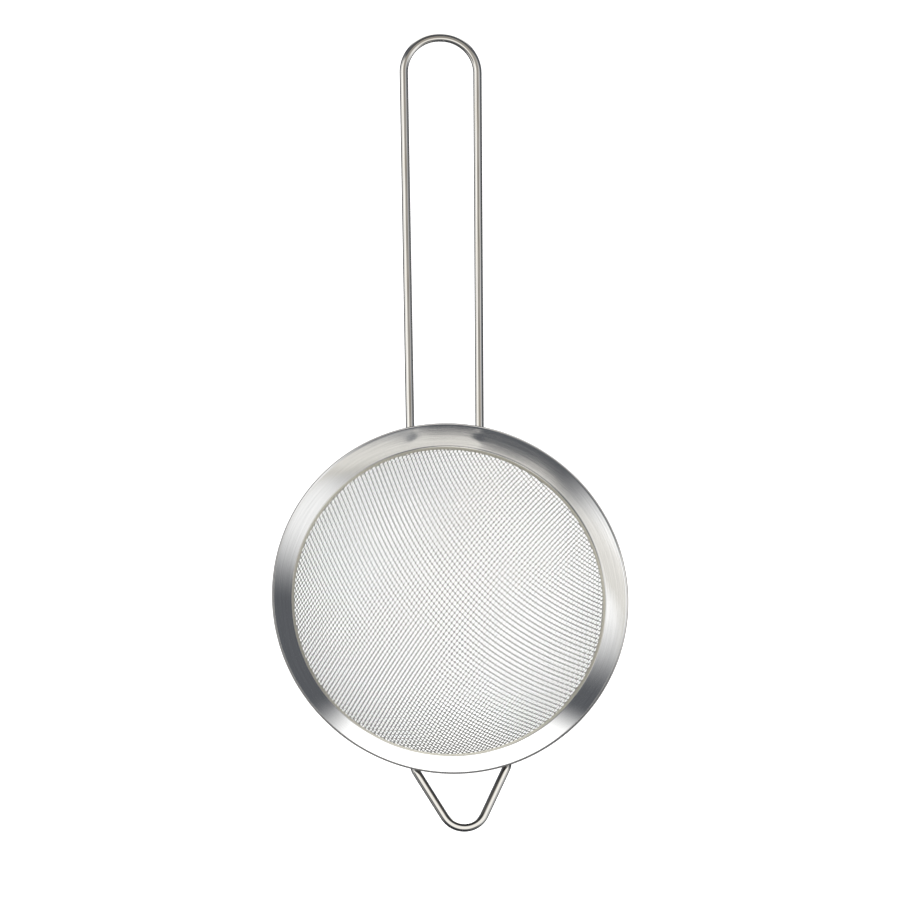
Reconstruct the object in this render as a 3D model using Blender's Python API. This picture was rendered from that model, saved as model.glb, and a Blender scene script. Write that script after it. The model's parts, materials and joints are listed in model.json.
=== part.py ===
"""A wire-mesh tea strainer: a bowl of woven wire held in a folded steel band, with a loop handle on one
side and a rest hook on the other, both bent from round wire and welded to the outside of the band.

Everything is modelled in the rim's own frame: origin on the bowl's axis, level with the top of the rim,
+Z up out of the bowl and +Y towards the handle. An empty then tips the whole strainer over as it lies on
a table, on the bottom of its bowl and the end of its handle."""

import math

import bmesh
import bpy
from mathutils import Matrix, Quaternion, Vector

# Driving dimensions, in metres and radians
RIM_RADIUS = 0.0400          # outside of the rolled rim edge
MOUTH_RADIUS = 0.0353        # where the mesh comes out from under the band
BAND_SLOPE = math.radians(50)
SHEET = 0.0003               # steel strip that the band is folded from
SLOT = 0.0008                # space between the band's two layers, for the edge of the mesh
MESH_THICKNESS = 0.0004      # woven mesh, as one smooth skin
FLANGE_LENGTH = 0.0040       # edge of the mesh that is gripped between the layers
BOWL_HALF_WIDTH = 0.0513     # half axes of the ellipse that the bowl's profile is part of
BOWL_HALF_HEIGHT = 0.0775
WIRE_RADIUS = 0.00095
WIRE_DROP = 0.0027           # handle and hook wires' centre line below the top of the rim
FOOT_LENGTH = 0.0024         # wire end that lies along the outside of the band
FOOT_BEND = 0.0020
HANDLE_REACH = 0.1290        # bowl's axis to the centre line of the handle's end
HANDLE_FOOT_SPREAD = 0.0156  # between the handle's two legs where they leave the rim
HANDLE_END_SPREAD = 0.0167   # between them at the end, where the handle is a little wider
HANDLE_END_BEND = 0.0081
HANDLE_FOOT_SHIFT = -0.0002  # the real handle is welded a little off the bowl's middle line
HANDLE_END_SHIFT = 0.0005
HOOK_REACH = 0.0573          # bowl's axis to where the hook's two legs would meet
HOOK_SPREAD = 0.0211
HOOK_BEND = 0.0051
HOOK_FOOT_SHIFT = 0.0020     # the hook sits off the middle line the other way
HOOK_END_SHIFT = 0.0029
WELD_SIZE = Vector((0.0024, 0.0018, 0.0016))  # across the wire, along it, and off the band
GAP = 0.0003                 # left between pieces that touch

# How finely round shapes are divided
ROUND_STEPS = 72
FOLD_STEPS = 6
BOWL_STEPS = 11
BEND_STEPS = 5
END_STEPS = 9
MERGE_DISTANCE = 1e-6

UP = Vector((0, 0, 1))

# Worked out from the driving dimensions
BAND_THICKNESS = 2 * SHEET + SLOT
FOLD_RADIUS = BAND_THICKNESS / 2
FOLD_CENTRE = (RIM_RADIUS - FOLD_RADIUS, -FOLD_RADIUS)
BAND_TOP = FOLD_CENTRE[0] - FOLD_RADIUS * math.sin(BAND_SLOPE)
BAND_LENGTH = (BAND_TOP - MOUTH_RADIUS) / math.cos(BAND_SLOPE)


def along_band(down, off):
    """A (radius, height) point of the band's section: down its slope from the fold, and off its middle
    layer towards the outside."""
    radius = FOLD_CENTRE[0] - down * math.cos(BAND_SLOPE) + off * math.sin(BAND_SLOPE)
    height = FOLD_CENTRE[1] - down * math.sin(BAND_SLOPE) - off * math.cos(BAND_SLOPE)
    return radius, height


def fold(radius, steps):
    """Points round the fold at the rim's top edge, from the inner layer over to the outer one."""
    start = math.pi / 2 + BAND_SLOPE
    for step in range(steps + 1):
        angle = start - math.pi * step / steps
        yield (
            FOLD_CENTRE[0] + radius * math.cos(angle),
            FOLD_CENTRE[1] + radius * math.sin(angle),
        )


def bowl_centre_height():
    """Height of the middle of the bowl's ellipse, which puts its skin at the band's lower edge."""
    edge_radius, edge_height = along_band(BAND_LENGTH, 0)
    rise = math.sqrt(1 - (edge_radius / BOWL_HALF_WIDTH) ** 2)
    return edge_height + BOWL_HALF_HEIGHT * rise


def bowl_profile(offset):
    """Points down the bowl from just under the band to its lowest point, offset off the middle of its
    skin. They are evenly spaced in the ellipse's own angle."""
    width = BOWL_HALF_WIDTH + offset
    height = BOWL_HALF_HEIGHT + offset
    edge_radius = along_band(BAND_LENGTH, 0)[0]
    edge_angle = math.asin(edge_radius / BOWL_HALF_WIDTH)
    for step in range(BOWL_STEPS + 1):
        angle = edge_angle * (1 - step / BOWL_STEPS)
        yield width * math.sin(angle), bowl_centre_height() - height * math.cos(angle)


def steel(name, colour, roughness):
    material = bpy.data.materials.new(name)
    material.use_nodes = True
    shader = material.node_tree.nodes["Principled BSDF"]
    shader.inputs["Base Color"].default_value = (*colour, 1)
    shader.inputs["Metallic"].default_value = 1
    shader.inputs["Roughness"].default_value = roughness
    return material


def add(name, data, material, parent):
    data.materials.append(material)
    piece = bpy.data.objects.new(name, data)
    piece.parent = parent
    bpy.context.scene.collection.objects.link(piece)
    return piece


def turned(name, outline, closed, material, parent):
    """An outline of (radius, height) points turned all the way round the bowl's axis."""
    count = len(outline)
    edges = [(i, (i + 1) % count) for i in range(count if closed else count - 1)]
    mesh = bpy.data.meshes.new(name)
    mesh.from_pydata([(radius, 0, height) for radius, height in outline], edges, [])
    piece = add(name, mesh, material, parent)
    turn = piece.modifiers.new("turn", "SCREW")
    turn.steps = ROUND_STEPS
    turn.render_steps = ROUND_STEPS
    turn.use_merge_vertices = True
    turn.merge_threshold = MERGE_DISTANCE
    turn.use_smooth_shade = True
    return piece


def rim_band(material, parent):
    """One strip folded lengthwise over the edge of the mesh: a smooth rolled edge at the top, and two
    sloping layers with a slot between them that is open at the bottom."""
    outside = list(fold(FOLD_RADIUS, FOLD_STEPS))
    inside = list(fold(SLOT / 2, FOLD_STEPS))
    outer_layer = [along_band(BAND_LENGTH, FOLD_RADIUS), along_band(BAND_LENGTH, SLOT / 2)]
    inner_layer = [along_band(BAND_LENGTH, -SLOT / 2), along_band(BAND_LENGTH, -FOLD_RADIUS)]
    outline = outside + outer_layer + inside[::-1] + inner_layer
    return turned("rim_band", outline, True, material, parent)


def mesh_bowl(material, parent):
    """The woven bowl as one thin skin, with the flange that the band grips."""
    half = MESH_THICKNESS / 2
    flange_top = BAND_LENGTH - FLANGE_LENGTH
    outer = [along_band(flange_top, half), *bowl_profile(half)]
    inner = [along_band(flange_top, -half), *bowl_profile(-half)]
    return turned("mesh_bowl", inner[::-1] + outer, False, material, parent)


def foot(x, side):
    """Where a wire end lies along the outside of the band, x across from the middle line, on the handle's
    side (+1) or the hook's (-1): its upper corner, the way down the band, and the way off it."""
    off_band = FOLD_RADIUS + GAP + WIRE_RADIUS
    down = (WIRE_DROP + along_band(0, off_band)[1]) / math.sin(BAND_SLOPE)
    radius, height = along_band(down, off_band)
    radial = Vector((x, side * math.sqrt(radius**2 - x**2), 0)).normalized()
    down_way = -radial * math.cos(BAND_SLOPE) - UP * math.sin(BAND_SLOPE)
    off_way = radial * math.sin(BAND_SLOPE) - UP * math.cos(BAND_SLOPE)
    return radial * radius + UP * height, down_way, off_way


def rounded(corners, bends, steps):
    """The centre line of a wire bent at its corners: straight runs joined by arcs."""
    path = [corners[0]]
    for before, corner, after, bend, step_count in zip(
        corners, corners[1:], corners[2:], bends, steps
    ):
        back = (before - corner).normalized()
        onward = (after - corner).normalized()
        half = back.angle(onward) / 2
        centre = corner + (back + onward).normalized() * bend / math.sin(half)
        first = corner + back * bend / math.tan(half) - centre
        last = corner + onward * bend / math.tan(half) - centre
        axis, sweep = first.cross(last).normalized(), first.angle(last)
        for step in range(step_count + 1):
            path.append(centre + Quaternion(axis, sweep * step / step_count) @ first)
    path.append(corners[-1])
    return path


def wire(name, path, material, parent):
    curve = bpy.data.curves.new(name, "CURVE")
    curve.dimensions = "3D"
    curve.bevel_depth = WIRE_RADIUS
    curve.bevel_resolution = 3
    curve.use_fill_caps = True
    spline = curve.splines.new("POLY")
    spline.points.add(len(path) - 1)
    for point, place in zip(spline.points, path):
        point.co = (*place, 1)
    return add(name, curve, material, parent)


def weld(name, x, side, material, parent):
    """The bead that closes the corner between a wire's cut end and the band."""
    corner, down_way, off_way = foot(x, side)
    past_end = FOOT_LENGTH + GAP + WELD_SIZE.y / 2
    centre = corner + down_way * past_end + off_way * (WELD_SIZE.z / 2 - WIRE_RADIUS)
    turn = Matrix((down_way.cross(off_way), down_way, off_way)).transposed().to_4x4()
    mesh = bpy.data.meshes.new(name)
    bead = bmesh.new()
    bmesh.ops.create_uvsphere(
        bead,
        u_segments=12,
        v_segments=6,
        radius=0.5,
        matrix=Matrix.Translation(centre) @ turn @ Matrix.Diagonal((*WELD_SIZE, 1)),
    )
    bead.to_mesh(mesh)
    bead.free()
    mesh.shade_smooth()
    return add(name, mesh, material, parent)


def handle(wire_steel, weld_steel, parent):
    """One wire: up from a foot, out to the end, round it and back to the other foot."""
    left, right = (HANDLE_FOOT_SHIFT + sign * HANDLE_FOOT_SPREAD / 2 for sign in (-1, 1))
    left_foot, left_down, _ = foot(left, 1)
    right_foot, right_down, _ = foot(right, 1)
    ends = [
        Vector((HANDLE_END_SHIFT + sign * HANDLE_END_SPREAD / 2, HANDLE_REACH, -WIRE_DROP))
        for sign in (-1, 1)
    ]
    corners = [
        left_foot + left_down * FOOT_LENGTH,
        left_foot,
        *ends,
        right_foot,
        right_foot + right_down * FOOT_LENGTH,
    ]
    bends = [FOOT_BEND, HANDLE_END_BEND, HANDLE_END_BEND, FOOT_BEND]
    steps = [BEND_STEPS, END_STEPS, END_STEPS, BEND_STEPS]
    wire("handle", rounded(corners, bends, steps), wire_steel, parent)
    weld("handle_weld_left", left, 1, weld_steel, parent)
    weld("handle_weld_right", right, 1, weld_steel, parent)


def rest_hook(wire_steel, weld_steel, parent):
    """One wire bent to a V, which catches on the far side of a cup."""
    left, right = (HOOK_FOOT_SHIFT + sign * HOOK_SPREAD / 2 for sign in (-1, 1))
    left_foot, left_down, _ = foot(left, -1)
    right_foot, right_down, _ = foot(right, -1)
    corners = [
        left_foot + left_down * FOOT_LENGTH,
        left_foot,
        Vector((HOOK_END_SHIFT, -HOOK_REACH, -WIRE_DROP)),
        right_foot,
        right_foot + right_down * FOOT_LENGTH,
    ]
    bends = [FOOT_BEND, HOOK_BEND, FOOT_BEND]
    path = rounded(corners, bends, [BEND_STEPS, END_STEPS, BEND_STEPS])
    wire("rest_hook", path, wire_steel, parent)
    weld("hook_weld_left", left, -1, weld_steel, parent)
    weld("hook_weld_right", right, -1, weld_steel, parent)
    return -min(point.y for point in path)


def bowl_low_point(tilt):
    """Height of the bowl's lowest point once the strainer is tipped, in the rim's frame turned by tilt."""
    width = (BOWL_HALF_WIDTH + MESH_THICKNESS / 2) * math.sin(tilt)
    height = (BOWL_HALF_HEIGHT + MESH_THICKNESS / 2) * math.cos(tilt)
    return bowl_centre_height() * math.cos(tilt) - math.hypot(width, height)


def handle_low_point(tilt):
    end = -HANDLE_REACH * math.sin(tilt) - WIRE_DROP * math.cos(tilt)
    return end - WIRE_RADIUS


def lying_tilt():
    """The tilt at which the bowl and the end of the handle touch the table together."""
    level, steep = 0.0, math.pi / 4
    for _ in range(50):
        middle = (level + steep) / 2
        if handle_low_point(middle) > bowl_low_point(middle):
            level = middle
        else:
            steep = middle
    return level


def main():
    for old in list(bpy.data.objects):
        bpy.data.objects.remove(old)
    lying = bpy.data.objects.new("lying_on_table", None)
    bpy.context.scene.collection.objects.link(lying)

    rim_band(steel("band_steel", (0.70, 0.70, 0.69), 0.25), lying)
    mesh_bowl(steel("mesh_steel", (0.66, 0.66, 0.63), 0.35), lying)
    wire_steel = steel("wire_steel", (0.72, 0.71, 0.69), 0.15)
    weld_steel = steel("weld_steel", (0.55, 0.53, 0.50), 0.40)
    handle(wire_steel, weld_steel, lying)
    hook_end = rest_hook(wire_steel, weld_steel, lying)

    tilt = lying_tilt()
    middle = (HANDLE_REACH - hook_end) / 2 * math.cos(tilt) - WIRE_DROP * math.sin(tilt)
    lying.rotation_euler = (-tilt, 0, 0)
    lying.location = (0, -middle, -bowl_low_point(tilt))


main()
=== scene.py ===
"""The looks of a wire-mesh tea strainer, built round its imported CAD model.

The strainer lies on a table, on the bottom of its bowl and the end of its handle. Its shapes are worked out
in the rim's own frame, as in the CAD model: origin on the bowl's axis, level with the top of the rim, +Z up
out of the bowl and +Y towards the handle. RIM_TO_ROW then puts them where the CAD model lies."""

import json
import math

import bpy
import numpy as np
from mathutils import Matrix, Quaternion, Vector


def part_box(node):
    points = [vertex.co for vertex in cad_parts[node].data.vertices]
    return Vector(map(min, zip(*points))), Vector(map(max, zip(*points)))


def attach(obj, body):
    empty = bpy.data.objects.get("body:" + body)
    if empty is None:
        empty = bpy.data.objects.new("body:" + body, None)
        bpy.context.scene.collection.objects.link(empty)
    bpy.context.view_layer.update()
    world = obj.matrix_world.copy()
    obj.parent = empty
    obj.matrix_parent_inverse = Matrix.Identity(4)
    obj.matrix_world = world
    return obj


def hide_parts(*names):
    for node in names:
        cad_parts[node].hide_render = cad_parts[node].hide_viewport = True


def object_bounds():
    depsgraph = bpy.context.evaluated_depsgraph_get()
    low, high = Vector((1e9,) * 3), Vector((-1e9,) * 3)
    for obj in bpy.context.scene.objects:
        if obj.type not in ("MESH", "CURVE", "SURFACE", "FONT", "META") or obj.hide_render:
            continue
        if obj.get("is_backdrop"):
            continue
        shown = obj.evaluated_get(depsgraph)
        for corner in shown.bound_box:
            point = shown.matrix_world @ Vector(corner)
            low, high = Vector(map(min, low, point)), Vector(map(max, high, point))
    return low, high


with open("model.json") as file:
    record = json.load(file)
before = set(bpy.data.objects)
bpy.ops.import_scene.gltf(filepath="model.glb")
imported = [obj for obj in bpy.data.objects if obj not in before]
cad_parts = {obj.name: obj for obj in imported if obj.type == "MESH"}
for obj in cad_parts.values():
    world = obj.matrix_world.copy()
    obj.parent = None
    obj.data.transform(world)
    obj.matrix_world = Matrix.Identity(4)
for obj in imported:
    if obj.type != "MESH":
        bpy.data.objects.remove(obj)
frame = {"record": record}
cad_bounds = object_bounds()

# The CAD model's own dimensions, in metres and radians
BAND_SLOPE = math.radians(50)
FOLD_RADIUS = 0.0007         # half the CAD band's thickness
MOUTH_RADIUS = 0.0353        # lower edge of the band's inner face
BOWL_EDGE_RADIUS = 0.035836  # where the mesh's mid skin leaves the band
BOWL_EDGE_HEIGHT = -0.004828
BOWL_HALF_WIDTH = 0.0513     # half axes of the ellipse that the bowl's profile is part of
BOWL_HALF_HEIGHT = 0.0775
WIRE_RADIUS = 0.00095
WIRE_DROP = 0.0027           # handle and hook wires' centre line below the top of the rim
FOOT_LENGTH = 0.0024
FOOT_BEND = 0.0020
HANDLE_REACH = 0.1290
HANDLE_FOOT_SPREAD = 0.0156
HANDLE_END_SPREAD = 0.0167
HANDLE_END_BEND = 0.0081
HANDLE_FOOT_SHIFT = -0.0002
HANDLE_END_SHIFT = 0.0005
HOOK_REACH = 0.0573
HOOK_SPREAD = 0.0211
HOOK_BEND = 0.0051
HOOK_FOOT_SHIFT = 0.0020
HOOK_END_SHIFT = 0.0029

# Band, as the real strip is folded: flat and tight at the rim, and spread over the mesh below it
SHEET = 0.00014              # thickness
FACE_SLOPE = math.radians(49.3)  # of the inner face, a little less than the CAD band's
FACE_MIDDLE = 0.0028         # the line that the face's tilts turn it about, down the face from the rim
FACE_OFF = 0.00034           # the inner face's lower edge, off the mesh's mid skin
SHOULDER_SLOPE = math.radians(36)  # the face bends over towards the rim's edge
SHOULDER_RADIUS = 0.0020
EDGE_RADIUS = 0.00016        # outside of the fold
LAYER_SPREAD = math.radians(5)  # the angle between the band's two layers
LAYER_REACH = 0.0004         # how much longer the outer layer is than the inner face
HEM_END_RADIUS = 0.03460     # the inner layer's hem laps down onto the mesh as far as this
HEM_OFF = 0.00042            # off the mesh's mid skin at its end
HEM_SHIFT = 0.00046          # the hem isn't quite centred on the rim
HEM_SHIFT_BEARING = math.radians(64)
HEM_SHIFT_WIDTH = 0.0030     # the shift fades out over this much radius, outwards from the hem's end
SEAM_BEARING = math.radians(215.5)  # where the strip's two ends meet
SEAM_STEP = 0.00003          # how far one end stands off the other
SEAM_FADE = 0.003            # the step fades out over about this length round the rim

# Tilts of the band's face, in radians, and how far each reaches round the rim
BETWEEN_WELDS_TILT = 0.013   # steeper between the handle's welds
BETWEEN_WELDS_FADE = 0.0005
LEAN_TILT = 0.017            # steeper again in a wide stretch to the right of the welds
LEAN_BEARING = math.radians(58)
LEAN_WIDTH = 0.016
WELD_TILT = 0.022            # flatter right behind each weld
WELD_TILT_WIDTH = 0.0013
WELD_TILT_HEIGHT = 0.0018

# Slow waves round the band: how high each is, how many go round, and where it starts in radians.
# FACE_WAVES move the face off its cone, in metres, and TILT_WAVES tilt it, in radians.
FACE_WAVES = ((5e-6, 9, 1.0), (4e-6, 17, 2.2), (2e-6, 31, 0.0))
TILT_WAVES = ((0.003, 5, 0.6), (0.002, 13, 1.9))

# Mesh: plain weave, with both families of wires bent over and under
MESH_WIRE_RADIUS = 0.000120
MESH_PITCH_A = 0.0008462     # along the B wires, between one A wire and the next
MESH_PITCH_B = 0.0010507
MESH_BEARING_A = math.radians(53.95)
MESH_BEARING_B = math.radians(131.67)
# How the two wires through the bowl's lowest point bend to the side as they run along the skin, in
# radians per metre: a constant, and its growth with the distance and with the distance's square
MESH_BEND_A = (-4.06, -64.5, 1696)
MESH_BEND_B = (-8.57, 7.5, 10055)
MESH_TUCK = 0.0001           # how far the wires run on under the band, outwards
WIRES_A = 56                 # on each side of the bowl's lowest point
WIRES_B = 50

# Camera: over the table, leaning a little to the left and to the hook's side
CAMERA_LEFT = math.radians(5.8)
CAMERA_FRONT = math.radians(1.5)
CAMERA_ROLL = math.radians(-0.1)
CAMERA_LENS = 1000           # millimetres, on a 36 mm sensor
FRAME_WIDTH = 0.2009         # what the picture is wide at the object
AIM_UP = 0.0332              # middle of the picture from the middle of the rim


# ---------------------------------------------------------------- places and shapes


def rim_to_row():
    """The matrix from the rim's own frame to the row's, read off the hanging loop's axis, which is square
    to the rim's plane, and off the band's box."""
    normal = Vector(frame["record"]["mounts"][0]["axis"]).normalized()
    tilt = math.atan2(normal.y, normal.z)
    low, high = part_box("rim_band")
    ring = (high.x - low.x) / 2 - FOLD_RADIUS
    place = Vector((
        (low.x + high.x) / 2,
        (low.y + high.y) / 2 + FOLD_RADIUS * math.sin(tilt),
        high.z - ring * math.sin(tilt) + FOLD_RADIUS * math.cos(tilt) - FOLD_RADIUS,
    ))
    return Matrix.Translation(place) @ Matrix.Rotation(-tilt, 4, "X")


RIM_TO_ROW = rim_to_row()
RIM_RADIUS = (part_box("rim_band")[1].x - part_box("rim_band")[0].x) / 2
UP = Vector((0, 0, 1))


def in_row(points):
    """Points of the rim's frame, in an array, as the row's."""
    turn = np.array(RIM_TO_ROW)
    return points @ turn[:3, :3].T + turn[:3, 3]


def along_band(down, off):
    """A (radius, height) point of the band's section: down its slope from the rim's fold, and off the
    mesh's layer towards the outside."""
    radius = RIM_RADIUS - FOLD_RADIUS - down * math.cos(BAND_SLOPE) + off * math.sin(BAND_SLOPE)
    height = -FOLD_RADIUS - down * math.sin(BAND_SLOPE) - off * math.cos(BAND_SLOPE)
    return radius, height


def bowl_height(radius):
    """Height of the mesh's mid skin at a distance from the bowl's axis: an ellipse, then the band's slope."""
    inner = np.minimum(radius, BOWL_EDGE_RADIUS) / BOWL_HALF_WIDTH
    edge = BOWL_EDGE_RADIUS / BOWL_HALF_WIDTH
    rise = BOWL_HALF_HEIGHT * (math.sqrt(1 - edge**2) - np.sqrt(1 - inner**2))
    return BOWL_EDGE_HEIGHT + rise + np.maximum(radius - BOWL_EDGE_RADIUS, 0) * math.tan(BAND_SLOPE)


def bowl_slope(radius):
    """How steeply the mid skin rises there, as a tangent."""
    inner = np.minimum(radius, BOWL_EDGE_RADIUS) / BOWL_HALF_WIDTH
    slope = BOWL_HALF_HEIGHT / BOWL_HALF_WIDTH * inner / np.sqrt(1 - inner**2)
    return np.where(radius > BOWL_EDGE_RADIUS, math.tan(BAND_SLOPE), slope)


def add_mesh(name, points, faces, material, slot, *nodes):
    """A smooth mesh piece from points in the rim's frame. It rides on the part's one body."""
    mesh = bpy.data.meshes.new(name)
    mesh.from_pydata(in_row(points), [], faces)
    mesh.shade_smooth()
    mesh.materials.append(material)
    piece = bpy.data.objects.new(name, mesh)
    bpy.context.scene.collection.objects.link(piece)
    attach(piece, "root")
    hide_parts(*nodes)
    return piece


def add_attribute(piece, name, values):
    """A number for each of the piece's points, which its material reads."""
    values = np.asarray(values, np.float32)
    kind = "FLOAT" if values.ndim == 1 else "FLOAT_VECTOR"
    attribute = piece.data.attributes.new(name, kind, "POINT")
    attribute.data.foreach_set("value" if values.ndim == 1 else "vector", values.ravel())


def grid_faces(rows, columns, closed_rows=False, closed_columns=False):
    """Quads between neighbouring points of a grid that is stored row after row."""
    across = np.arange(rows if closed_rows else rows - 1)
    along = np.arange(columns if closed_columns else columns - 1)
    r, c = np.meshgrid(across, along, indexing="ij")
    r_next, c_next = (r + 1) % rows, (c + 1) % columns
    corners = (r * columns + c, r * columns + c_next, r_next * columns + c_next, r_next * columns + c)
    return np.stack(corners, -1).reshape(-1, 4)


# ---------------------------------------------------------------- node helpers


class Nodes:
    """Builds a node tree with short calls. An input may be a socket, a number or a tuple."""

    def __init__(self, tree):
        self.tree = tree

    def add(self, kind, inputs=(), **settings):
        """A new node of a kind, with its settings and its inputs by name or number."""
        node = self.tree.nodes.new(kind)
        for key, value in settings.items():
            setattr(node, key, value)
        for key, value in dict(inputs).items():
            self.put(node.inputs[key], value)
        return node

    def put(self, socket, value):
        """Links a socket into an input, or sets the input to a value."""
        if isinstance(value, bpy.types.NodeSocket):
            self.tree.links.new(value, socket)
        else:
            socket.default_value = value

    def math(self, operation, *values):
        """The number that a maths operation makes of others."""
        node = self.add("ShaderNodeMath", enumerate(values), operation=operation)
        return node.outputs[0]

    def ramp(self, value, low, high, to_low=0.0, to_high=1.0):
        """Value's way from low to high, smoothly, as a number from to_low to to_high."""
        node = self.add(
            "ShaderNodeMapRange",
            enumerate((value, low, high, to_low, to_high)),
            interpolation_type="SMOOTHSTEP",
        )
        return node.outputs[0]

    def mix(self, share, first, second, blend="MIX"):
        """A colour, first where share is 0 and second blended into it where it is 1."""
        node = self.add("ShaderNodeMix", data_type="RGBA", blend_type=blend)
        for index, value in ((0, share), (6, first), (7, second)):
            self.put(node.inputs[index], value)
        return node.outputs[2]

    def attribute(self, name, output="Fac"):
        """What add_attribute gave the piece under this name, as a number or as a Vector."""
        return self.add("ShaderNodeAttribute", attribute_name=name).outputs[output]

    def times(self, vector, factors):
        """A vector or a colour, each of its three numbers multiplied by its own factor."""
        node = self.add("ShaderNodeVectorMath", enumerate((vector, factors)), operation="MULTIPLY")
        return node.outputs[0]

    def noise(self, vector, scale, detail=3.0):
        """Smooth noise from 0 to 1, about scale lumps to a metre of the vector."""
        inputs = {"Vector": vector, "Scale": scale, "Detail": detail}
        return self.add("ShaderNodeTexNoise", inputs).outputs["Fac"]


def new_steel(name, metallic=1.0):
    """A new material, its node helper and its shader, whose roughness and colour are still to be set."""
    material = bpy.data.materials.new(name)
    material.use_nodes = True
    shader = material.node_tree.nodes["Principled BSDF"]
    shader.inputs["Metallic"].default_value = metallic
    return material, Nodes(material.node_tree), shader


# ---------------------------------------------------------------- materials

# The factors that nodes.times gives a place, before its noise, are how fine the noise is in each
# direction, in lumps to a metre. In "strip", the first two directions run round the rim and the third
# across the strip. In "wire", the first two run across a wire and the third along it.

STEEL = (0.80, 0.795, 0.78)                # the band's face, before its grain darkens it
DULL_STEEL = (0.60, 0.575, 0.49, 1)        # its hem
FOLD_PAINTED_SHADE = (0.20, 0.195, 0.19, 1)        # painted shade on the outside of its fold
MESH_DARK_STEEL = (0.40, 0.40, 0.375, 1)   # mesh wires vary between these two
MESH_LIGHT_STEEL = (0.52, 0.515, 0.485, 1)
CREST_PAINTED_SHADE = (0.14, 0.14, 0.13, 1)        # painted shade on mesh wires where they lie over another
DRAWN_DARK_STEEL = (0.70, 0.685, 0.65, 1)  # handle and hook wires vary between these two
DRAWN_LIGHT_STEEL = (0.84, 0.825, 0.79, 1)
PAINTED_TOP_LINE_COLOUR = (0.22, 0.205, 0.185, 1)   # painted dark reflection along the top of handle and hook wires
PAINTED_SIDE_SHADE = (0.30, 0.295, 0.28, 1)        # painted shade on their sides
BROWN_WELD = (0.60, 0.52, 0.42, 1)         # weld metal varies between these two
GREY_WELD = (0.40, 0.36, 0.34, 1)

# Handle and hook wires: the painted dark reflection's distance from the top of the wire, its half width where
# it starts to fade and where it ends, and where the painted shade on the sides starts and is full, all across
# the wire
PAINTED_TOP_LINE_SHIFT = 0.00004
PAINTED_TOP_LINE_FULL = 0.00014
PAINTED_TOP_LINE_END = 0.00040
PAINTED_SIDE_SHADE_START = 0.72 * WIRE_RADIUS
PAINTED_SIDE_SHADE_FULL = 0.95 * WIRE_RADIUS

# Heat tint of the same wires, from untouched steel to the weld: how hot, and the tint's colour
HEAT_TINTS = (
    (0.0, (1, 1, 1, 1)),
    (0.45, (0.98, 0.84, 0.58, 1)),
    (0.8, (0.72, 0.47, 0.26, 1)),
    (1.0, (0.40, 0.34, 0.34, 1)),
)


def band_steel():
    """Satin steel strip, rolled and brushed lengthwise, so its grain runs round the band. Its hem is
    duller and less metallic, and the outside of its fold is darkened with painted shade."""
    material, nodes, shader = new_steel("band_steel")
    strip = nodes.attribute("strip", "Vector")
    grain = nodes.noise(nodes.times(strip, (70, 70, 5200)), 1.0)
    streaks = nodes.noise(nodes.times(strip, (25, 25, 1500)), 1.0, 2.0)
    smudges = nodes.noise(strip, 160.0)
    tone = nodes.math("MULTIPLY_ADD", grain, 0.30, nodes.math("MULTIPLY_ADD", smudges, 0.06, 0.82))
    hem = nodes.attribute("hem")
    lapped = nodes.mix(hem, nodes.times(STEEL, tone), DULL_STEEL)
    # painted shade: the outside of the fold is darkened in its colour
    nodes.put(shader.inputs["Base Color"], nodes.mix(nodes.attribute("edge"), lapped, FOLD_PAINTED_SHADE))
    satin = nodes.math("MULTIPLY_ADD", streaks, 0.10, 0.05)
    nodes.put(shader.inputs["Roughness"], nodes.math("MULTIPLY_ADD", hem, 0.3, satin))
    nodes.put(shader.inputs["Metallic"], nodes.math("MULTIPLY_ADD", hem, -0.6, 1.0))
    bump = nodes.add("ShaderNodeBump", {"Strength": 0.5, "Distance": 0.000005, "Height": grain})
    nodes.put(shader.inputs["Normal"], bump.outputs[0])
    return material


def mesh_steel():
    """Fine drawn wire, duller than the band, with painted shade making it darkest on the crests where one
    wire lies over another.
    """
    material, nodes, shader = new_steel("mesh_steel", metallic=0.0)
    wire = nodes.attribute("wire", "Vector")
    tone = nodes.noise(nodes.times(wire, (900, 900, 4000)), 1.0)
    plain = nodes.mix(tone, MESH_DARK_STEEL, MESH_LIGHT_STEEL)
    # painted shade: the crests where a wire lies over another are darkened in its colour
    crest = nodes.ramp(nodes.attribute("crest"), 0.1, 0.9)
    nodes.put(shader.inputs["Base Color"], nodes.mix(crest, plain, CREST_PAINTED_SHADE))
    nodes.put(shader.inputs["Roughness"], nodes.math("MULTIPLY_ADD", tone, 0.2, 0.45))
    return material


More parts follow.
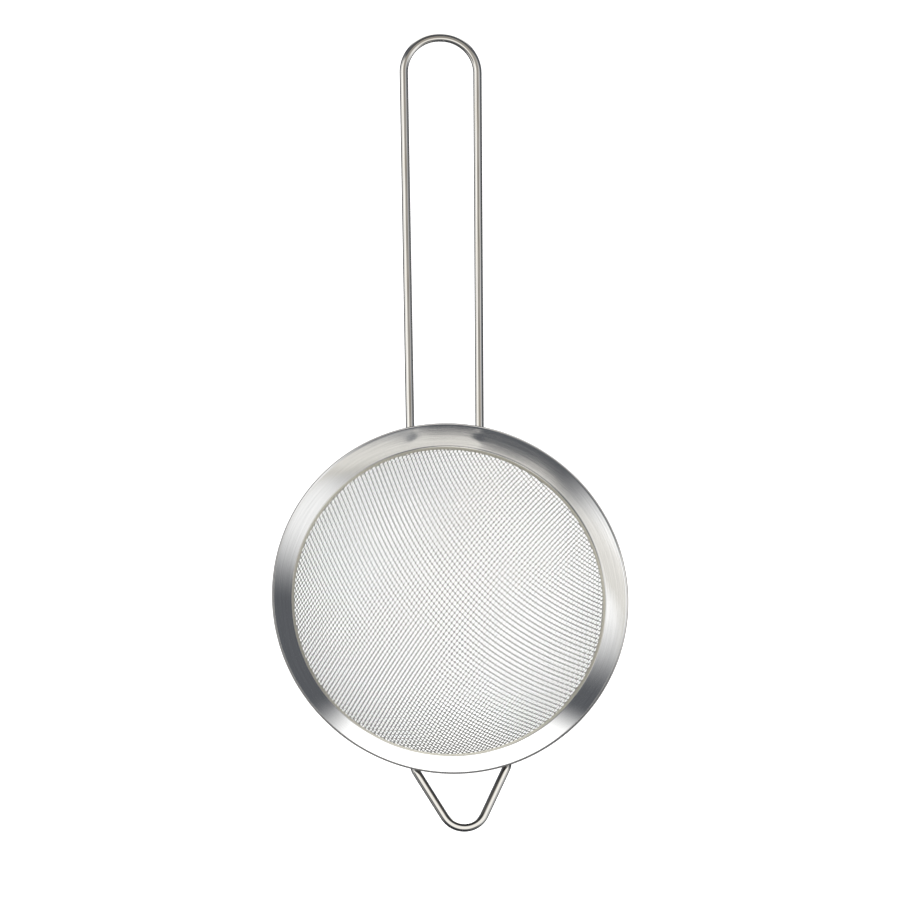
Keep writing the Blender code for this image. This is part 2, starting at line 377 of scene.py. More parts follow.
def wire_steel():
    """Bright drawn wire, with fine lines along it, a painted dark reflection along its top, painted shade
    on its sides, and a heat tint by its welds."""
    material, nodes, shader = new_steel("wire_steel")
    wire = nodes.attribute("wire", "Vector")
    lines = nodes.noise(nodes.times(wire, (9000, 9000, 120)), 1.0)
    smudges = nodes.noise(nodes.times(wire, (400, 400, 90)), 1.0)
    drawn = nodes.mix(lines, DRAWN_DARK_STEEL, DRAWN_LIGHT_STEEL)
    across, off, _ = nodes.add("ShaderNodeSeparateXYZ", {0: wire}).outputs
    # painted dark reflection: a dark line along the top of the wire, put in its colour
    beside = nodes.math("ABSOLUTE", nodes.math("ADD", across, PAINTED_TOP_LINE_SHIFT))
    on_top = nodes.ramp(off, 0, 0.5 * WIRE_RADIUS)
    painted_top_line = nodes.math("MULTIPLY", on_top, nodes.ramp(beside, PAINTED_TOP_LINE_FULL, PAINTED_TOP_LINE_END, 1, 0))
    lined = nodes.mix(nodes.math("MULTIPLY", painted_top_line, nodes.math("ADD", lines, 0.45)), drawn, PAINTED_TOP_LINE_COLOUR)
    # painted shade: the wire's sides are darkened in its colour
    sides = nodes.ramp(nodes.math("ABSOLUTE", across), PAINTED_SIDE_SHADE_START, PAINTED_SIDE_SHADE_FULL)
    plain = nodes.mix(sides, lined, PAINTED_SIDE_SHADE)
    heat = nodes.math("MULTIPLY_ADD", smudges, 0.3, nodes.math("SUBTRACT", nodes.attribute("heat"), 0.15))
    tint = nodes.add("ShaderNodeValToRGB", {"Fac": heat})
    stops = tint.color_ramp.elements
    stops[0].color, stops[1].color = HEAT_TINTS[0][1], HEAT_TINTS[-1][1]
    for place, colour in HEAT_TINTS[1:-1]:
        stops.new(place).color = colour
    tinted = nodes.mix(1.0, plain, tint.outputs["Color"], "MULTIPLY")
    nodes.put(shader.inputs["Base Color"], tinted)
    nodes.put(shader.inputs["Roughness"], nodes.math("MULTIPLY_ADD", smudges, 0.06, 0.02))
    bump = nodes.add("ShaderNodeBump", {"Strength": 0.12, "Distance": 0.000002, "Height": lines})
    nodes.put(shader.inputs["Normal"], bump.outputs[0])
    return material


def weld_steel():
    """Cleaned weld metal: rippled, dull, with straw and brown heat colours."""
    material, nodes, shader = new_steel("weld_steel")
    place = nodes.attribute("wire", "Vector")
    patches = nodes.noise(place, 900.0)
    ripples = nodes.noise(place, 2500.0)
    nodes.put(shader.inputs["Base Color"], nodes.mix(patches, BROWN_WELD, GREY_WELD))
    nodes.put(shader.inputs["Roughness"], nodes.math("MULTIPLY_ADD", ripples, 0.3, 0.22))
    bump = nodes.add("ShaderNodeBump", {"Strength": 0.6, "Distance": 0.00006, "Height": ripples})
    nodes.put(shader.inputs["Normal"], bump.outputs[0])
    return material


# ---------------------------------------------------------------- rim band

BAND_ROUND_STEPS = 900
HEM_STEPS = 8
FACE_STEPS = 24
SHOULDER_STEPS = 10
FOLD_STEPS = 14
FOLD_BRIGHT_STEPS = 3        # the fold's first steps still belong to the bright shoulder and get no painted shade
OUTSIDE_STEPS = 12           # down the outer layer
CUT_STEPS = 6                # round its lower edge
INSIDE_STEPS = 6             # back up inside the fold
GAP_STEPS = 3                # round the gap at the top of the fold


def course(start, heading, runs):
    """Points (radius, height) along runs of the band's section. Each run has a length, the angle it turns
    by, anticlockwise, and a number of steps."""
    place = np.array(start)
    points = [place]
    for length, turn, steps in runs:
        for _ in range(steps):
            heading += turn / steps / 2
            place = place + np.array([math.cos(heading), math.sin(heading)]) * length / steps
            heading += turn / steps / 2
            points.append(place)
    return points


def hem_course(steps):
    """Points down the hem's upper side, from the face's lower edge to where it lies on the mesh."""
    for step in range(1, steps + 1):
        share = step / steps
        radius = MOUTH_RADIUS + (HEM_END_RADIUS - MOUTH_RADIUS) * share
        off = FACE_OFF + (HEM_OFF - FACE_OFF) * math.sin(share * math.pi / 2)
        yield radius, float(bowl_height(radius)) + off / math.cos(math.atan(float(bowl_slope(radius))))


def band_outline():
    """The section of the folded strip as a closed ring of (radius, height): up the hem and the inner
    face, over the rim's edge, down the outer layer and back inside the fold. Two more lists say how
    far each point belongs to the hem and to the fold's outside, which gets painted shade."""
    hem = [np.array(point) for point in hem_course(HEM_STEPS)][::-1]
    foot_height = float(bowl_height(MOUTH_RADIUS)) + FACE_OFF / math.cos(BAND_SLOPE)
    shoulder_width = SHOULDER_RADIUS * (math.sin(FACE_SLOPE) - math.sin(SHOULDER_SLOPE))
    edge_width = EDGE_RADIUS * (1 + math.sin(SHOULDER_SLOPE))
    face_width = RIM_RADIUS - MOUTH_RADIUS - shoulder_width - edge_width
    face_length = face_width / math.cos(FACE_SLOPE)
    back_turn = SHOULDER_SLOPE + math.pi - FACE_SLOPE - LAYER_SPREAD
    layer_length = face_length + LAYER_REACH
    fold_gap = 2 * (EDGE_RADIUS - SHEET)
    runs = [
        (face_length, 0, FACE_STEPS),
        (SHOULDER_RADIUS * (FACE_SLOPE - SHOULDER_SLOPE), SHOULDER_SLOPE - FACE_SLOPE, SHOULDER_STEPS),
        (EDGE_RADIUS * back_turn, -back_turn, FOLD_STEPS),
        (layer_length, 0, OUTSIDE_STEPS),
        (SHEET * math.pi / 2, -math.pi, CUT_STEPS),
        (layer_length, 0, INSIDE_STEPS),
        (fold_gap * math.pi / 2, math.pi - LAYER_SPREAD, GAP_STEPS),
    ]
    section = course((MOUTH_RADIUS, foot_height), FACE_SLOPE, runs)
    under_way = np.array([math.sin(FACE_SLOPE), -math.cos(FACE_SLOPE)]) * SHEET
    under = [section[0] + under_way] + [point + under_way for point in hem[::-1]]
    ring = hem[:-1] + section + under
    is_hem = [1.0] * (len(hem) - 1) + [0.0] * len(section) + [1.0] * len(under)
    fold_start = len(hem) - 1 + FACE_STEPS + SHOULDER_STEPS
    # the fold's outside past its first steps, which gets painted shade
    edge = range(fold_start + FOLD_BRIGHT_STEPS, fold_start + FOLD_STEPS + 1)
    is_fold_shade = [1.0 if index in edge else 0.0 for index in range(len(ring))]
    return np.array(ring), np.array(is_hem), np.array(is_fold_shade)


def around_rim(bearing, from_bearing):
    """Distance along the rim between two bearings, signed."""
    return np.angle(np.exp(1j * (bearing - from_bearing))) * RIM_RADIUS


def waves(bearing, sizes):
    """The sum of sine waves round the rim, each with its height, number and start."""
    return sum(height * np.sin(number * bearing + start) for height, number, start in sizes)


def band_ripple(bearing, down):
    """How far the strip's inner face stands off its true cone, in metres: slow waves from the rolling,
    steeper stretches between the handle's welds and to their right, dimples behind all the welds, and
    a small step where the strip's ends meet."""
    middle = down - FACE_MIDDLE
    beyond_welds = np.abs(around_rim(bearing, math.pi / 2)) - HANDLE_FOOT_SPREAD / 2
    between_welds = 0.5 - 0.5 * np.tanh(beyond_welds / BETWEEN_WELDS_FADE)
    lean = np.exp(-(around_rim(bearing, LEAN_BEARING) / LEAN_WIDTH) ** 2)
    tilt = waves(bearing, TILT_WAVES) + between_welds * BETWEEN_WELDS_TILT + lean * LEAN_TILT
    ripple = waves(bearing, FACE_WAVES) + middle * tilt
    for weld_bearing in weld_bearings():
        across = around_rim(bearing, weld_bearing) / WELD_TILT_WIDTH
        ripple = ripple - WELD_TILT * middle * np.exp(-(across**2) - (middle / WELD_TILT_HEIGHT) ** 2)
    past_seam = around_rim(bearing, SEAM_BEARING)
    step = np.where(past_seam > 0, np.exp(-np.abs(past_seam) / SEAM_FADE), 0.0)
    return ripple + SEAM_STEP * step


def weld_bearings():
    """Bearing of each weld as seen from the bowl's axis."""
    fittings = ((1, HANDLE_FOOT_SHIFT, HANDLE_FOOT_SPREAD), (-1, HOOK_FOOT_SHIFT, HOOK_SPREAD))
    for side, shift, spread in fittings:
        for sign in (-1, 1):
            x = shift + sign * spread / 2
            yield math.atan2(side * math.sqrt(RIM_RADIUS**2 - x**2), x)


def hem_slide(bearing, radius):
    """How far outwards the hem and the foot of the face are moved, as the hem isn't quite centred."""
    beyond_end = np.clip((radius - HEM_END_RADIUS) / HEM_SHIFT_WIDTH, 0, 1)
    return HEM_SHIFT * np.cos(bearing - HEM_SHIFT_BEARING) * (1 - beyond_end)


def rim_band():
    """The folded strip, its section carried round the rim with its ripples and the hem's shift."""
    ring, is_hem, is_fold_shade = band_outline()
    bearings = np.linspace(0, 2 * math.pi, BAND_ROUND_STEPS, endpoint=False)
    steps = np.hypot(*np.diff(ring, axis=0, append=ring[:1]).T)
    along = np.concatenate([[0], np.cumsum(steps)[:-1]])
    bearing = np.tile(bearings[:, None], (1, len(ring)))
    radius, height, distance, hem, edge = (
        np.tile(values, (BAND_ROUND_STEPS, 1)) for values in (*ring.T, along, is_hem, is_fold_shade)
    )

    down = -height / math.sin(FACE_SLOPE)
    ripple = band_ripple(bearing, down) * (1 - hem)
    radius = radius + ripple * math.sin(FACE_SLOPE)
    height = height - ripple * math.cos(FACE_SLOPE)

    slide = hem_slide(bearing, radius)
    radius = radius + slide
    height = height + slide * math.tan(FACE_SLOPE)
    points = np.stack([radius * np.cos(bearing), radius * np.sin(bearing), height], -1).reshape(-1, 3)
    faces = grid_faces(BAND_ROUND_STEPS, len(ring), True, True)
    piece = add_mesh("folded_rim_band", points, faces, band_steel(), "band_steel", "rim_band")
    strip = np.stack([np.cos(bearing) * RIM_RADIUS, np.sin(bearing) * RIM_RADIUS, distance], -1)
    add_attribute(piece, "strip", strip.reshape(-1, 3))
    add_attribute(piece, "hem", hem.reshape(-1))
    # where the fold's outside gets painted shade
    add_attribute(piece, "edge", edge.reshape(-1))


# ---------------------------------------------------------------- woven mesh

SUBSTEPS = 4                 # of a wire's centre line, between one crossing and the next
WIRE_SIDES = 6
COURSE_SUBSTEPS = 4          # of the two middle wires' courses, between one crossing and the next
NET_MARGIN = 0.004           # how far past the bowl's edge the net is carried on, outwards
WIRE_MARGIN = 0.0032         # how far past it a wire's crossings are used
FEWEST_CROSSINGS = 4         # on a wire, or it is left out
SKIN_ERROR_SCALE = 1e-3      # brings a height off the skin to about the size of a squared length's error
SKIN_ROUNDS = 3              # rounds of correction that put a point on the skin
NET_ROUNDS = 6               # and that put a crossing in its place on the net
WIRE_APART = 0.01            # between two wires in their material, so that each has its own tones


def off_skin(points):
    """How far points are above the bowl's skin, and that height's gradient."""
    radius = np.hypot(points[..., 0], points[..., 1])
    slope = bowl_slope(radius) / np.maximum(radius, 1e-9)
    gradient = np.stack([-slope * points[..., 0], -slope * points[..., 1], np.ones_like(radius)], -1)
    return points[..., 2] - bowl_height(radius), gradient


def unit(vectors):
    """The same directions with length 1."""
    return vectors / np.linalg.norm(vectors, axis=-1, keepdims=True)


def middle_wire(bearing, pitch, count, bend):
    """Crossings along one wire that runs through the bowl's lowest point on a gently bent course."""
    halves = []
    step = pitch / COURSE_SUBSTEPS
    for sign in (-1, 1):
        place = np.array([0.0, 0.0, float(bowl_height(0.0))])
        heading = sign * np.array([math.cos(bearing), math.sin(bearing), 0.0])
        crossings = [place]
        for index in range(count * COURSE_SUBSTEPS):
            distance = sign * (index + 0.5) * step
            curvature = sign * (bend[0] + bend[1] * distance + bend[2] * distance**2)
            normal = unit(off_skin(place)[1])
            heading = unit(heading - normal * (heading @ normal))
            heading = unit(heading + curvature * step * np.cross(normal, heading))
            target = place + heading * step
            for _ in range(SKIN_ROUNDS):
                height, gradient = off_skin(target)
                target = target - gradient * height / (gradient @ gradient)
            heading = unit(target - place)
            place = place + heading * step
            if (index + 1) % COURSE_SUBSTEPS == 0:
                crossings.append(place)
        halves.append(crossings)
    return np.array(halves[0][:0:-1] + halves[1])


def next_crossings(beside_a, beside_b, before):
    """Where the net's next crossings lie: on the skin, a whole pitch from the crossing before them on
    either wire. beside_a is that one on the A wire, beside_b on the B wire."""
    place = beside_a + beside_b - before
    place[:, 2] = bowl_height(np.hypot(place[:, 0], place[:, 1]))
    for _ in range(NET_ROUNDS):
        from_a, from_b = place - beside_a, place - beside_b
        height, gradient = off_skin(place)
        error = np.stack([
            (from_a**2).sum(1) - MESH_PITCH_B**2,
            (from_b**2).sum(1) - MESH_PITCH_A**2,
            height * SKIN_ERROR_SCALE,
        ], 1)
        slopes = np.stack([2 * from_a, 2 * from_b, gradient * SKIN_ERROR_SCALE], 1)
        place = place - np.linalg.solve(slopes, error[..., None])[..., 0]
    return place


def crossings_of_net():
    """Crossings of the woven cloth as it is drawn over the bowl: a net of wires whose pitch never
    changes, only the angle between them. The first index is the A wire and the second the B wire."""
    net = np.full((2 * WIRES_A + 1, 2 * WIRES_B + 1, 3), np.nan)
    net[:, WIRES_B] = middle_wire(MESH_BEARING_B, MESH_PITCH_A, WIRES_A, MESH_BEND_B)
    net[WIRES_A, :] = middle_wire(MESH_BEARING_A, MESH_PITCH_B, WIRES_B, MESH_BEND_A)
    far = BOWL_EDGE_RADIUS + NET_MARGIN
    for way_a in (1, -1):
        for way_b in (1, -1):
            for diagonal in range(2, WIRES_A + WIRES_B + 1):
                a = np.arange(max(1, diagonal - WIRES_B), min(WIRES_A, diagonal - 1) + 1)
                row, column = WIRES_A + way_a * a, WIRES_B + way_b * (diagonal - a)
                before = net[row - way_a, column - way_b]
                beside_a, beside_b = net[row, column - way_b], net[row - way_a, column]
                known = np.isfinite(beside_a + beside_b).all(1)
                known &= np.hypot(before[:, 0], before[:, 1]) < far
                if known.any():
                    found = next_crossings(beside_a[known], beside_b[known], before[known])
                    net[row[known], column[known]] = found
    return net


def smooth_course(crossings):
    """Points along a wire through its crossings, SUBSTEPS to a pitch, as a Catmull-Rom curve."""
    ends = (2 * crossings[0] - crossings[1], 2 * crossings[-1] - crossings[-2])
    p = np.concatenate([[ends[0]], crossings, [ends[1]]])
    p0, p1, p2, p3 = p[:-3], p[1:-2], p[2:-1], p[3:]
    course = []
    for step in range(SUBSTEPS):
        t = step / SUBSTEPS
        course.append(
            p1 + 0.5 * t * (p2 - p0 + t * (2 * p0 - 5 * p1 + 4 * p2 - p3 + t * (3 * p1 - 3 * p2 + p3 - p0)))
        )
    return np.stack(course, 1).reshape(-1, 3)


def woven_wire(crossings, first_over):
    """One wire of the weave: its centre line's points, the way off the skin at each of them, and a
    number that is 1 where it passes over another wire and -1 where it passes under. It passes over
    the first crossing if first_over is 1, under it if that is -1, and so on by turns."""
    course = smooth_course(crossings)
    way_off = unit(off_skin(course)[1])
    turn = np.arange(len(course)) * math.pi / SUBSTEPS
    crest = first_over * np.cos(turn)
    centres = course + way_off * (MESH_WIRE_RADIUS * crest)[:, None]
    inside = np.hypot(course[:, 0], course[:, 1]) < BOWL_EDGE_RADIUS + MESH_TUCK
    return centres[inside], way_off[inside], crest[inside]


def round_wire(centres, way_off, radius, sides):
    """Rings of points round a wire's centre line, ring after ring, without its ends."""
    along = unit(np.gradient(centres, axis=0))
    aside = unit(np.cross(along, way_off))
    off = np.cross(aside, along)
    angles = np.arange(sides) * 2 * math.pi / sides
    rings = centres[:, None] + radius * (
        np.cos(angles)[None, :, None] * aside[:, None] + np.sin(angles)[None, :, None] * off[:, None]
    )
    return rings.reshape(-1, 3)


def wires_of_family(net, parity):
    """The woven wires whose crossings are the net's rows."""
    for index, row in enumerate(net):
        known = np.isfinite(row).all(1)
        known &= np.hypot(row[:, 0], row[:, 1]) < BOWL_EDGE_RADIUS + WIRE_MARGIN
        places = np.flatnonzero(known)
        if len(places) < FEWEST_CROSSINGS:
            continue
        first = places[0]
        crossings = row[first:places[-1] + 1]
        if not np.isfinite(crossings).all():
            continue
        wire = woven_wire(crossings, 1 if (index + first + parity) % 2 else -1)
        if len(wire[0]) > 2 * SUBSTEPS:
            yield wire


def add_wires(name, wires, material):
    """Many woven wires as one piece. Each of a wire's six-sided ends is closed with two quads."""
    points, faces, marks, crests = [], [], [], []
    start = 0
    for number, (centres, way_off, crest) in enumerate(wires):
        points.append(round_wire(centres, way_off, MESH_WIRE_RADIUS, WIRE_SIDES))
        faces.append(start + grid_faces(len(centres), WIRE_SIDES, closed_columns=True))
        caps = start + np.array([np.arange(WIRE_SIDES)[::-1], np.arange(WIRE_SIDES)])
        caps[1] += (len(centres) - 1) * WIRE_SIDES
        faces.append(np.concatenate([caps[:, [0, 1, 2, 3]], caps[:, [3, 4, 5, 0]]]))
        distance = np.repeat(np.arange(len(centres)) * MESH_PITCH_A / SUBSTEPS, WIRE_SIDES)
        marks.append(np.stack([np.full_like(distance, number * WIRE_APART), 0 * distance, distance], -1))
        crests.append(np.repeat(crest, WIRE_SIDES))
        start += len(centres) * WIRE_SIDES
    piece = add_mesh(name, np.concatenate(points), np.concatenate(faces), material, "mesh_steel", "mesh_bowl")
    add_attribute(piece, "wire", np.concatenate(marks))
    # read by the material for its painted shade on the crests
    add_attribute(piece, "crest", np.concatenate(crests))
    piece.visible_glossy = False


def woven_bowl():
    """The two families of wires, each in two halves."""
    net = crossings_of_net()
    material = mesh_steel()
    warp = list(wires_of_family(net, 0))
    weft = list(wires_of_family(net.transpose(1, 0, 2), 1))
    for name, wires in (("mesh_warp", warp), ("mesh_weft", weft)):
        half = len(wires) // 2
        add_wires(name + "_left", wires[:half], material)
        add_wires(name + "_right", wires[half:], material)


# ---------------------------------------------------------------- handle and hook

FOOT_GAP = 0.0003            # from the band's mid layer to a foot's near side; it's sunk in the outer layer
FOOT_OFF = FOOT_GAP + WIRE_RADIUS
ROD_SIDES = 28
ROD_STEP = 0.0005            # between the rings of points along a wire
BEND_STEPS = 24
CUT_EDGE = 0.0001            # rings nearer than this to a wire's cut end are narrower
CUT_SHARE = 0.8              # and have this share of its radius
HEAT_REACH = 0.0045          # a wire is fully heated as far as this from its end
HEAT_FADE = 0.0022
WELD_HALF_SIZE = Vector((0.0019, 0.0017, 0.0009))  # across the wire, down the band and off it
WELD_BACK = 0.0002           # its middle is this much short of the wire's end
WELD_SUNK = 0.0003           # and this much nearer the band than the wire's centre line
WELD_ROWS = 24
WELD_COLUMNS = 40


def foot(x, side):
    """Where a wire's end lies along the outside of the band, x across from the middle line, on the
    handle's side (+1) or the hook's (-1): its upper corner, the way down the band, and the way off it."""
    down = (WIRE_DROP + along_band(0, FOOT_OFF)[1]) / math.sin(BAND_SLOPE)
    radius, height = along_band(down, FOOT_OFF)
    radial = Vector((x, side * math.sqrt(radius**2 - x**2), 0)).normalized()
    down_way = -radial * math.cos(BAND_SLOPE) - UP * math.sin(BAND_SLOPE)
    off_way = radial * math.sin(BAND_SLOPE) - UP * math.cos(BAND_SLOPE)
    return radial * radius + UP * height, down_way, off_way


def rounded(corners, bends):
    """The centre line of a wire bent at its corners: straight runs joined by arcs, in short steps."""
    path = [corners[0]]
    for before, corner, after, bend in zip(corners, corners[1:], corners[2:], bends):
        back = (before - corner).normalized()
        onward = (after - corner).normalized()
        half = back.angle(onward) / 2
        centre = corner + (back + onward).normalized() * bend / math.sin(half)
        first = corner + back * bend / math.tan(half) - centre
        last = corner + onward * bend / math.tan(half) - centre
        axis, sweep = first.cross(last).normalized(), first.angle(last)
        for step in range(BEND_STEPS + 1):
            path.append(centre + Quaternion(axis, sweep * step / BEND_STEPS) @ first)
    path.append(corners[-1])
    return path


def even_steps(path, step):
    """The same line with points a step apart."""
    path = np.array(path)
    lengths = np.concatenate([[0], np.cumsum(np.linalg.norm(np.diff(path, axis=0), axis=1))])
    count = int(lengths[-1] / step) + 1
    places = np.linspace(0, lengths[-1], count)
    return np.stack([np.interp(places, lengths, path[:, axis]) for axis in range(3)], -1), places


def rod(name, path, node, material):
    """A bright wire with bevelled cut ends, and its heat tint near both."""
    centres, distance = even_steps(path, ROD_STEP)
    along = unit(np.gradient(centres, axis=0))
    aside = np.zeros_like(along)
    aside[0] = unit(np.cross(along[0], (0.0, 0.0, 1.0)))
    for index in range(1, len(along)):
        aside[index] = unit(aside[index - 1] - along[index] * (aside[index - 1] @ along[index]))
    from_end = np.minimum(distance, distance[-1] - distance)
    radius = WIRE_RADIUS * np.where(from_end < CUT_EDGE, CUT_SHARE, 1.0)
    off = np.cross(aside, along)
    angles = np.arange(ROD_SIDES) * 2 * math.pi / ROD_SIDES
    around = np.cos(angles)[None, :, None] * aside[:, None] + np.sin(angles)[None, :, None] * off[:, None]
    rings = centres[:, None] + radius[:, None, None] * around
    count = len(centres) * ROD_SIDES
    points = np.concatenate([rings.reshape(-1, 3), centres[:1], centres[-1:]])
    faces = [tuple(face) for face in grid_faces(len(centres), ROD_SIDES, closed_columns=True)]
    for side in range(ROD_SIDES):
        after = (side + 1) % ROD_SIDES
        faces.append((after, side, count))
        faces.append((count - ROD_SIDES + side, count - ROD_SIDES + after, count + 1))
    piece = add_mesh(name, points, faces, material, "wire_steel", node)
    lengths = np.repeat(distance, ROD_SIDES)
    turns = np.tile(angles, len(centres))
    wire = np.stack([np.cos(turns) * WIRE_RADIUS, np.sin(turns) * WIRE_RADIUS, lengths], -1)
    add_attribute(piece, "wire", np.concatenate([wire, wire[:1], wire[-1:]]))
    heat = np.exp(-np.maximum(np.repeat(from_end, ROD_SIDES) - HEAT_REACH, 0) / HEAT_FADE)
    add_attribute(piece, "heat", np.concatenate([heat, heat[:1], heat[-1:]]))


def weld(name, x, side, node, material):
    """A rippled bead round a wire's cut end, melted onto the band."""
    corner, down_way, off_way = foot(x, side)
    centre = corner + down_way * (FOOT_LENGTH - WELD_BACK) - off_way * WELD_SUNK
    across_way = down_way.cross(off_way)
    points = []
    for row in range(WELD_ROWS + 1):
        polar = math.pi * row / WELD_ROWS
        for column in range(WELD_COLUMNS):
            turn = 2 * math.pi * column / WELD_COLUMNS
            ring = math.sin(polar)
            ball = Vector((ring * math.cos(turn), ring * math.sin(turn), math.cos(polar)))
            ripples = 0.07 * math.sin(5 * turn + 3 * ball.z + x * 900)
            lumps = 0.05 * math.sin(9 * ball.y + 4 * ball.x)
            spread = ball * (1 + ripples + lumps)
            points.append(
                centre
                + across_way * spread.x * WELD_HALF_SIZE.x
                + down_way * spread.y * WELD_HALF_SIZE.y
                + off_way * spread.z * WELD_HALF_SIZE.z
            )
    faces = grid_faces(WELD_ROWS + 1, WELD_COLUMNS, closed_columns=True)
    points = np.array(points)
    piece = add_mesh(name, points, faces, material, "weld_steel", node)
    add_attribute(piece, "wire", points)


def bent_wire(name, node, side, middle, spread, tips, tip_bend, bright, melted):
    """A wire bent round its tips, with a foot on the band at both its ends and a weld bead on each.
    Its feet are spread apart about middle, on the handle's side (+1) or the hook's (-1)."""
    left, right = middle - spread / 2, middle + spread / 2
    left_foot, left_down, _ = foot(left, side)
    right_foot, right_down, _ = foot(right, side)
    corners = [
        left_foot + left_down * FOOT_LENGTH,
        left_foot,
        *tips,
        right_foot,
        right_foot + right_down * FOOT_LENGTH,
    ]
    bends = [FOOT_BEND] + [tip_bend] * len(tips) + [FOOT_BEND]
    rod(name + "_wire", rounded(corners, bends), node, bright)
    weld(name + "_bead_left", left, side, name + "_weld_left", melted)
    weld(name + "_bead_right", right, side, name + "_weld_right", melted)


def handle_and_hook():
    """The handle's long U and the hook's V."""
    steels = wire_steel(), weld_steel()
    handle_tips = [
        Vector((HANDLE_END_SHIFT + sign * HANDLE_END_SPREAD / 2, HANDLE_REACH, -WIRE_DROP))
        for sign in (-1, 1)
    ]
    hook_tips = [Vector((HOOK_END_SHIFT, -HOOK_REACH, -WIRE_DROP))]
    bent_wire(
        "handle", "handle", 1, HANDLE_FOOT_SHIFT, HANDLE_FOOT_SPREAD, handle_tips, HANDLE_END_BEND, *steels
    )
    bent_wire("hook", "rest_hook", -1, HOOK_FOOT_SHIFT, HOOK_SPREAD, hook_tips, HOOK_BEND, *steels)


# ---------------------------------------------------------------- stage, light and camera

WARM = (1.02, 1.0, 0.96, 1)
PLAIN = (1.0, 1.0, 1.0, 1)
COOL = (0.93, 0.98, 1.09, 1)
WALL = 0.13                  # brightness of the studio's dim surroundings

# A large scrim overhead, on the hook's side: its brightness, its far edge as a y on a unit sphere, and
# its lower edge as an elevation in degrees, each edge with how soft it is
SCRIM = 1.0
SCRIM_EDGE = 0.57
SCRIM_EDGE_SOFTNESS = 0.01
SCRIM_ELEVATION = 40
SCRIM_ELEVATION_SOFTNESS = 8

# The lit table on the handle's side: its brightness, and where it lies, in degrees. It starts at the
# elevation TABLE_NEAR, under the horizon, and is fully bright from TABLE_FULL down.
TABLE = 2.0
TABLE_BEARING = 85
TABLE_HALF_WIDTH = 35
TABLE_SOFTNESS = 10
TABLE_NEAR = -10
TABLE_FULL = -24

# Soft boxes: the bearing each is at, half its width, how soft its sides are, its lowest and highest
# elevation, all in degrees, its brightness and its colour
SOFT_BOXES = (
    (180, 29, 18, -18, 12, 1.15, PLAIN),
    (158, 20, 8, 19, 40, 1.30, WARM),
    (338, 18, 14, -18, 40, 0.95, PLAIN),
    (302, 14, 10, -18, 20, 0.28, PLAIN),
    (20, 20, 12, 22, 50, 0.30, COOL),
)
BOX_BOTTOM_SOFTNESS = 6
BOX_TOP_SOFTNESS = 8


def studio_light():
    """A world of large soft lights: a scrim overhead, the lit table below, and tall soft boxes. To the
    camera it is plain white, like the table."""
    world = bpy.data.worlds.new("studio")
    bpy.context.scene.world = world
    world.use_nodes = True
    nodes = Nodes(world.node_tree)
    world.node_tree.nodes.clear()
    direction = nodes.add("ShaderNodeTexCoord").outputs["Generated"]
    x, y, z = nodes.add("ShaderNodeSeparateXYZ", {0: direction}).outputs
    elevation = nodes.math("MULTIPLY", nodes.math("ARCSINE", z), 180 / math.pi)
    level = nodes.math("SQRT", nodes.math("ADD", nodes.math("MULTIPLY", x, x), nodes.math("MULTIPLY", y, y)))

    def away_from(bearing):
        """Degrees between the direction's bearing and this one."""
        east = nodes.math("MULTIPLY", x, math.cos(math.radians(bearing)))
        along = nodes.math("ADD", east, nodes.math("MULTIPLY", y, math.sin(math.radians(bearing))))
        angle = nodes.math("ARCCOSINE", nodes.math("DIVIDE", along, level))
        return nodes.math("MULTIPLY", angle, 180 / math.pi)

    def edge_at(value, place, softness, before=0.0, after=1.0):
        """A soft edge where value passes place: before it on the one side, after it on the other."""
        return nodes.ramp(value, place - softness, place + softness, before, after)

    def glow(colour, strength):
        """Light of a colour and a strength."""
        return nodes.add("ShaderNodeBackground", {"Color": colour, "Strength": strength}).outputs[0]

    lights = [glow(COOL, WALL)]
    over = nodes.math(
        "MULTIPLY",
        edge_at(elevation, SCRIM_ELEVATION, SCRIM_ELEVATION_SOFTNESS),
        edge_at(y, SCRIM_EDGE, -SCRIM_EDGE_SOFTNESS),
    )
    lights.append(glow(WARM, nodes.math("MULTIPLY", over, SCRIM)))
    below = nodes.math(
        "MULTIPLY",
        nodes.ramp(elevation, TABLE_NEAR, TABLE_FULL),
        edge_at(away_from(TABLE_BEARING), TABLE_HALF_WIDTH, TABLE_SOFTNESS, 1, 0),
    )
    lights.append(glow(PLAIN, nodes.math("MULTIPLY", below, TABLE)))
    for bearing, half_width, soft, low, high, strength, colour in SOFT_BOXES:
        across = edge_at(away_from(bearing), half_width, soft, strength, 0)
        bottom = edge_at(elevation, low, BOX_BOTTOM_SOFTNESS)
        top = edge_at(elevation, high, BOX_TOP_SOFTNESS, 1, 0)
        lights.append(glow(colour, nodes.math("MULTIPLY", across, nodes.math("MULTIPLY", bottom, top))))

    studio = lights[0]
    for light in lights[1:]:
        studio = nodes.add("ShaderNodeAddShader", {0: studio, 1: light}).outputs[0]
    seen = nodes.add("ShaderNodeLightPath").outputs["Is Camera Ray"]
    both = nodes.add("ShaderNodeMixShader", {0: seen, 1: studio, 2: glow(PLAIN, 1.0)})
    nodes.add("ShaderNodeOutputWorld", {"Surface": both.outputs[0]})


TABLE_HALF_SIZE = 12.0
TABLE_SELF_LIGHT = 0.86      # makes it as white as the surroundings


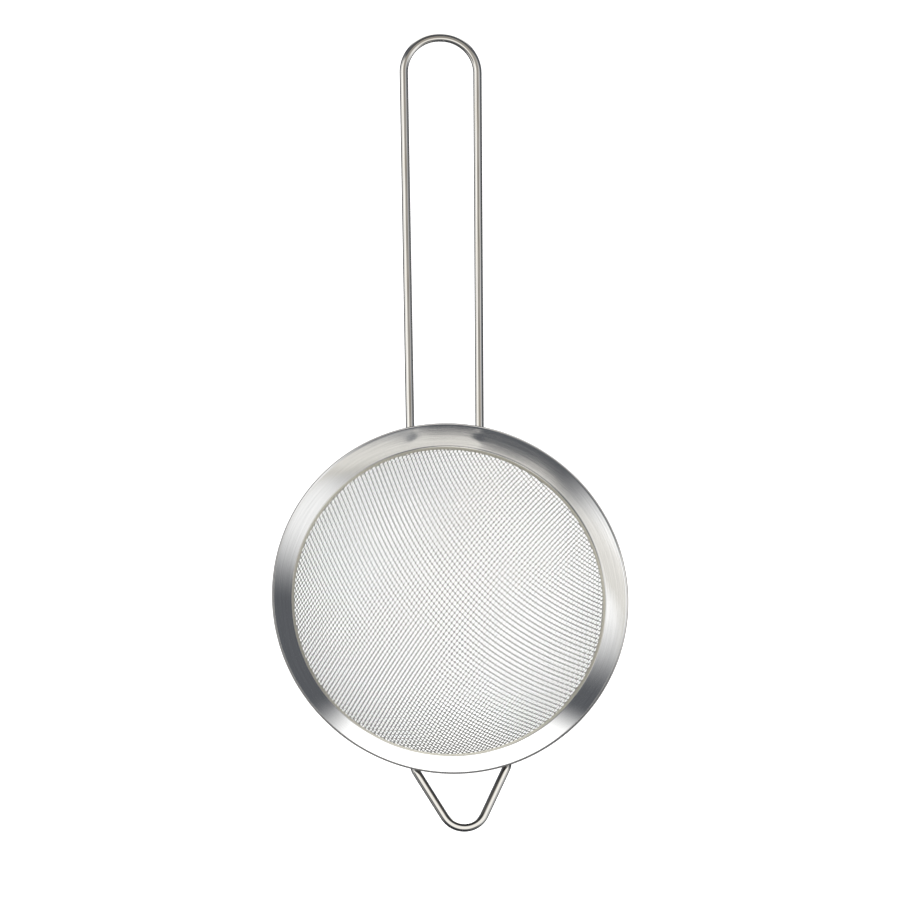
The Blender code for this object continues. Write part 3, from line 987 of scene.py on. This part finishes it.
def floor():
    """A white light table. Polished steel mirrors the studio instead of it, so it is hidden from gloss."""
    material = bpy.data.materials.new("white_table")
    material.use_nodes = True
    shader = material.node_tree.nodes["Principled BSDF"]
    shader.inputs["Base Color"].default_value = (0.8, 0.8, 0.8, 1)
    shader.inputs["Roughness"].default_value = 0.9
    shader.inputs["Emission Color"].default_value = (1, 1, 1, 1)
    shader.inputs["Emission Strength"].default_value = TABLE_SELF_LIGHT
    mesh = bpy.data.meshes.new("table")
    size = TABLE_HALF_SIZE
    corners = [(-size, -size, 0), (size, -size, 0), (size, size, 0), (-size, size, 0)]
    mesh.from_pydata(corners, [], [(0, 1, 2, 3)])
    mesh.materials.append(material)
    table = bpy.data.objects.new("table", mesh)
    bpy.context.scene.collection.objects.link(table)
    table.visible_glossy = False
    table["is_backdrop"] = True


def camera_back():
    """The way from what the camera looks at to the camera."""
    return Vector((-math.tan(CAMERA_LEFT), -math.tan(CAMERA_FRONT), 1)).normalized()


def camera():
    """A long lens far away, so that the view is nearly parallel."""
    data = bpy.data.cameras.new("camera")
    data.lens = CAMERA_LENS
    data.sensor_width = 36
    eye = bpy.data.objects.new("camera", data)
    bpy.context.scene.collection.objects.link(eye)
    bpy.context.scene.camera = eye
    back = camera_back()
    level_right = (Vector((1, 0, 0)) - back * back.x).normalized()
    level_up = back.cross(level_right)
    right = level_right * math.cos(CAMERA_ROLL) - level_up * math.sin(CAMERA_ROLL)
    up = back.cross(right)
    distance = FRAME_WIDTH * CAMERA_LENS / data.sensor_width
    middle_of_rim = RIM_TO_ROW @ Vector((0, 0, -FOLD_RADIUS))
    place = middle_of_rim + up * AIM_UP + back * distance
    turn = Matrix((right, up, back)).transposed().to_4x4()
    eye.matrix_world = Matrix.Translation(place) @ turn
    data.clip_end = 2 * distance
    data.clip_start = distance / 10


camera()
studio_light()
floor()
rim_band()
woven_bowl()
handle_and_hook()
bpy.context.scene.view_settings.view_transform = "Standard"

boxes = {"cad": cad_bounds, "visual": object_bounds()}
{name: [list(corner) for corner in box] for name, box in boxes.items()}
